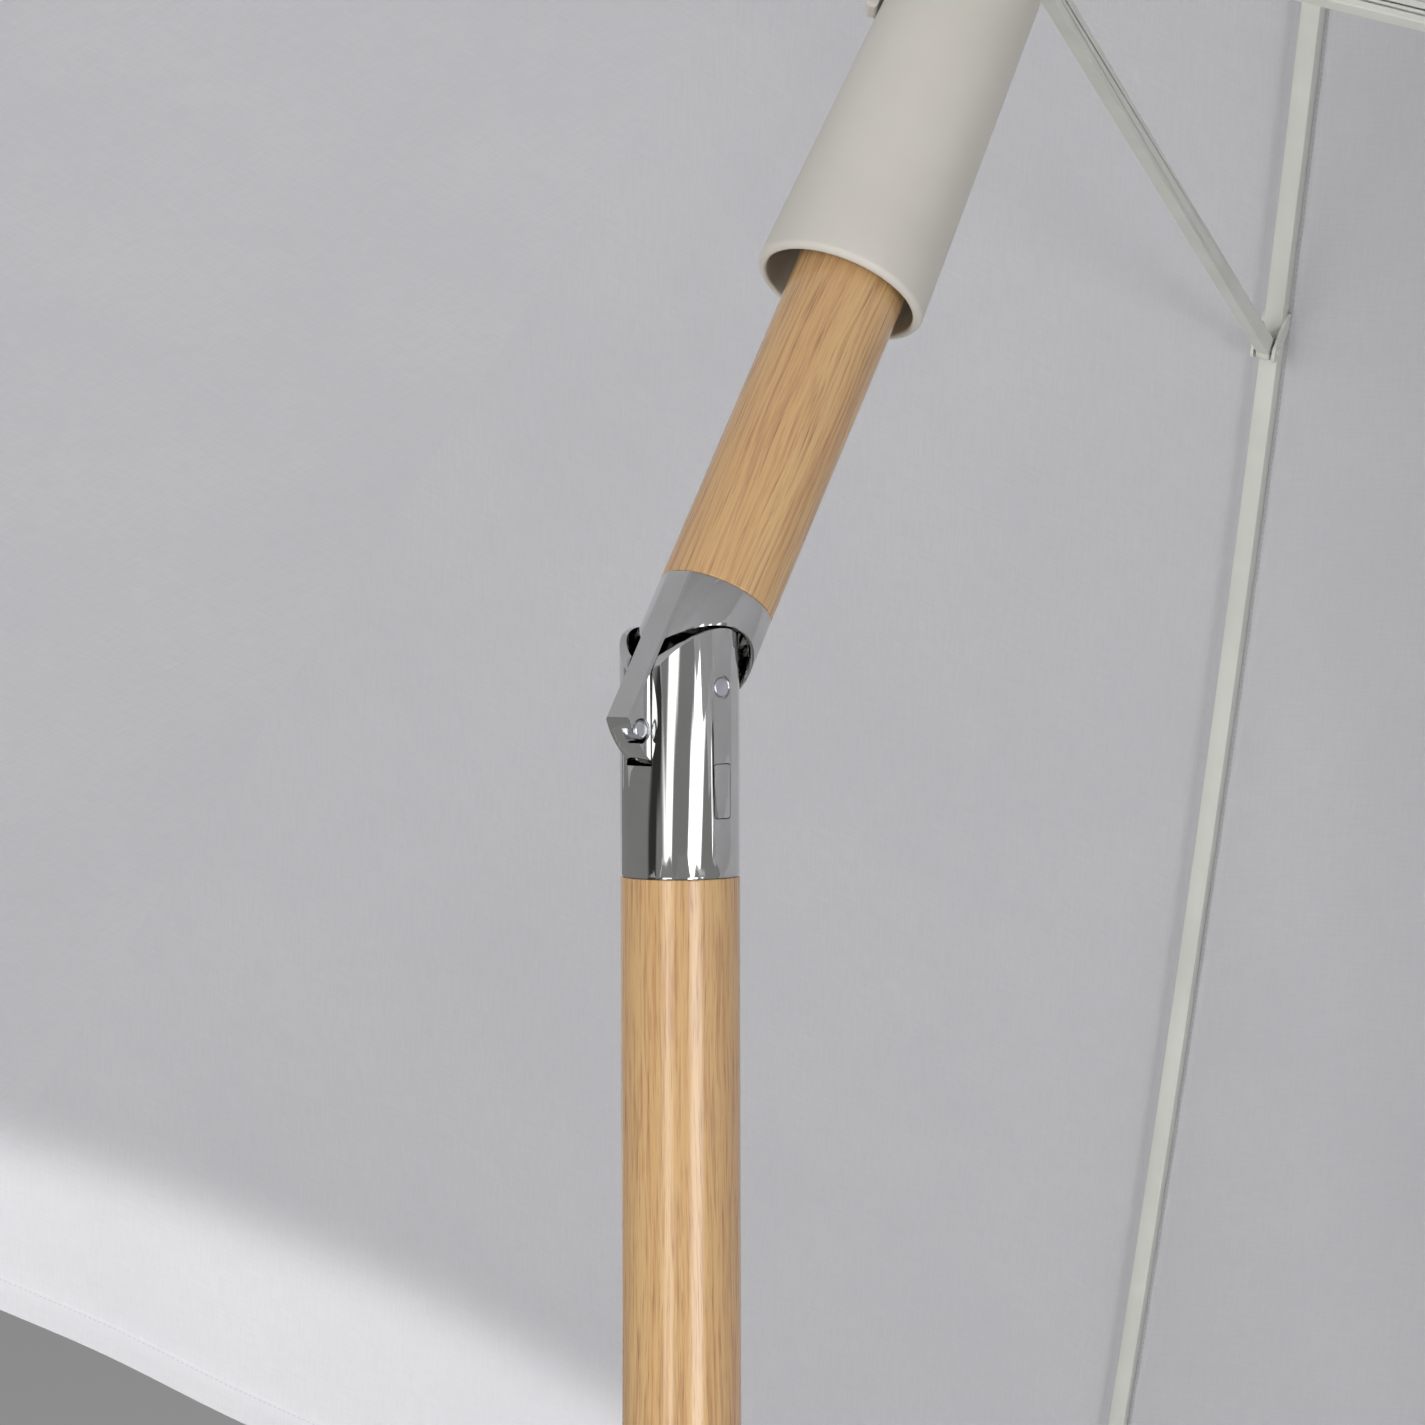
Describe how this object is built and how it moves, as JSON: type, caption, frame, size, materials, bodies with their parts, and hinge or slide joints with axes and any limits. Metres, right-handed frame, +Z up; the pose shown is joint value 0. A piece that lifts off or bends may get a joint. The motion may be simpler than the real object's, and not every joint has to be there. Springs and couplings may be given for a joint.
{
  "type": "tilting garden parasol",
  "caption": "Centre-pole garden parasol with a push-button tilt joint, a sliding runner with stretchers and ribs, and a cloth canopy; no base.",
  "frame": {"origin": "middle of the lower pole's foot end, on the pole's axis", "axes": "+Z up along the lower pole, +X the way the canopy leans, Y along the tilt joint's pin with its button on the -Y side"},
  "size_m": [2.2577, 3.0608, 2.4246],
  "materials": {
    "oak_foil": "satin oak-effect foil on a steel tube",
    "chrome": "polished chrome plate",
    "zinc": "bright zinc plate",
    "spring_steel": "plain spring steel",
    "dark_plastic": "moulded nylon",
    "white_plastic": "matte moulded, warm off-white",
    "white_steel": "powder coated, off-white",
    "canopy_cloth": "plain woven polyester, light grey"
  },
  "bodies": {
    "pole": {"lower_pole": "oak_foil", "foot_plug": "dark_plastic", "knuckle_base": "chrome", "pivot_pin": "zinc", "pivot_spacers": "dark_plastic", "button_spring": "spring_steel"},
    "button": {"release_button": "chrome", "lock_bolt": "zinc"},
    "mast": {"knuckle_head": "chrome", "stop_rivet": "zinc", "upper_pole": "oak_foil", "crown_hub": "white_plastic", "rib_pins": "zinc", "crown_cap": "white_plastic", "finial": "white_plastic"},
    "runner": {"runner_sleeve": "white_plastic", "runner_hub": "white_plastic", "stretcher_pins": "zinc"},
    "rib_1": {"rib_1": "white_steel", "rib_tip_1": "white_plastic", "rib_bracket_1": "white_steel", "canopy_gore_1": "canopy_cloth"},
    "stretcher_1": {"stretcher_1": "white_steel"},
    "rib_2": {"rib_2": "white_steel", "rib_tip_2": "white_plastic", "rib_bracket_2": "white_steel", "canopy_gore_2": "canopy_cloth"},
    "stretcher_2": {"stretcher_2": "white_steel"},
    "rib_3": {"rib_3": "white_steel", "rib_tip_3": "white_plastic", "rib_bracket_3": "white_steel", "canopy_gore_3": "canopy_cloth"},
    "stretcher_3": {"stretcher_3": "white_steel"},
    "rib_4": {"rib_4": "white_steel", "rib_tip_4": "white_plastic", "rib_bracket_4": "white_steel", "canopy_gore_4": "canopy_cloth"},
    "stretcher_4": {"stretcher_4": "white_steel"},
    "rib_5": {"rib_5": "white_steel", "rib_tip_5": "white_plastic", "rib_bracket_5": "white_steel", "canopy_gore_5": "canopy_cloth"},
    "stretcher_5": {"stretcher_5": "white_steel"},
    "rib_6": {"rib_6": "white_steel", "rib_tip_6": "white_plastic", "rib_bracket_6": "white_steel", "canopy_gore_6": "canopy_cloth"},
    "stretcher_6": {"stretcher_6": "white_steel"}
  },
  "joints": [
    {"name": "tilt", "type": "hinge", "parent": "pole", "child": "mast", "pos_m": [0, 0, 1.7], "axis": [0, 1, 0], "range_deg": [-31.6, 0]},
    {"name": "button_press", "type": "slide", "parent": "pole", "child": "button", "axis": [0, 1, 0], "range_m": [0, 0.004], "stiffness_N_per_m": 900, "springref_m": -0.0015, "deforming": ["button_spring"]},
    {"name": "runner_slide", "type": "slide", "parent": "mast", "child": "runner", "axis": [0.524, 0, 0.8517], "range_m": [-0.1, 0], "deforming": ["canopy_gore_1", "canopy_gore_2", "canopy_gore_3", "canopy_gore_4", "canopy_gore_5", "canopy_gore_6"]},
    {"name": "rib_fold_1", "type": "hinge", "parent": "mast", "child": "rib_1", "pos_m": [0.42036, 0.015, 2.3337], "axis": [-0.4259, 0.866, 0.262], "range_deg": [0, 4.3], "deforming": ["canopy_gore_1"]},
    {"name": "stretcher_fold_1", "type": "hinge", "parent": "runner", "child": "stretcher_1", "pos_m": [0.19109, 0.018, 1.95111], "axis": [-0.4259, 0.866, 0.262], "range_deg": [-6, 0]},
    {"name": "rib_fold_2", "type": "hinge", "parent": "mast", "child": "rib_2", "pos_m": [0.39823, 0.03, 2.34731], "axis": [-0.8517, 0, 0.524], "range_deg": [0, 4.3], "deforming": ["canopy_gore_2"]},
    {"name": "stretcher_fold_2", "type": "hinge", "parent": "runner", "child": "stretcher_2", "pos_m": [0.16453, 0.036, 1.96744], "axis": [-0.8517, 0, 0.524], "range_deg": [-6, 0]},
    {"name": "rib_fold_3", "type": "hinge", "parent": "mast", "child": "rib_3", "pos_m": [0.3761, 0.015, 2.36093], "axis": [-0.4259, -0.866, 0.262], "range_deg": [0, 4.3], "deforming": ["canopy_gore_3"]},
    {"name": "stretcher_fold_3", "type": "hinge", "parent": "runner", "child": "stretcher_3", "pos_m": [0.13798, 0.018, 1.98378], "axis": [-0.4259, -0.866, 0.262], "range_deg": [-6, 0]},
    {"name": "rib_fold_4", "type": "hinge", "parent": "mast", "child": "rib_4", "pos_m": [0.3761, -0.015, 2.36093], "axis": [0.4259, -0.866, -0.262], "range_deg": [0, 4.3], "deforming": ["canopy_gore_4"]},
    {"name": "stretcher_fold_4", "type": "hinge", "parent": "runner", "child": "stretcher_4", "pos_m": [0.13798, -0.018, 1.98378], "axis": [0.4259, -0.866, -0.262], "range_deg": [-6, 0]},
    {"name": "rib_fold_5", "type": "hinge", "parent": "mast", "child": "rib_5", "pos_m": [0.39823, -0.03, 2.34731], "axis": [0.8517, 0, -0.524], "range_deg": [0, 4.3], "deforming": ["canopy_gore_5"]},
    {"name": "stretcher_fold_5", "type": "hinge", "parent": "runner", "child": "stretcher_5", "pos_m": [0.16453, -0.036, 1.96744], "axis": [0.8517, 0, -0.524], "range_deg": [-6, 0]},
    {"name": "rib_fold_6", "type": "hinge", "parent": "mast", "child": "rib_6", "pos_m": [0.42036, -0.015, 2.3337], "axis": [0.4259, 0.866, -0.262], "range_deg": [0, 4.3], "deforming": ["canopy_gore_6"]},
    {"name": "stretcher_fold_6", "type": "hinge", "parent": "runner", "child": "stretcher_6", "pos_m": [0.19109, -0.018, 1.95111], "axis": [0.4259, 0.866, -0.262], "range_deg": [-6, 0]}
  ],
  "couplings": [
    {"joint": "rib_fold_1", "follows": "runner_slide", "rad_per_m": -0.71366},
    {"joint": "stretcher_fold_1", "follows": "runner_slide", "rad_per_m": 1.014},
    {"joint": "rib_fold_2", "follows": "runner_slide", "rad_per_m": -0.71366},
    {"joint": "stretcher_fold_2", "follows": "runner_slide", "rad_per_m": 1.014},
    {"joint": "rib_fold_3", "follows": "runner_slide", "rad_per_m": -0.71366},
    {"joint": "stretcher_fold_3", "follows": "runner_slide", "rad_per_m": 1.014},
    {"joint": "rib_fold_4", "follows": "runner_slide", "rad_per_m": -0.71366},
    {"joint": "stretcher_fold_4", "follows": "runner_slide", "rad_per_m": 1.014},
    {"joint": "rib_fold_5", "follows": "runner_slide", "rad_per_m": -0.71366},
    {"joint": "stretcher_fold_5", "follows": "runner_slide", "rad_per_m": 1.014},
    {"joint": "rib_fold_6", "follows": "runner_slide", "rad_per_m": -0.71366},
    {"joint": "stretcher_fold_6", "follows": "runner_slide", "rad_per_m": 1.014}
  ]
}
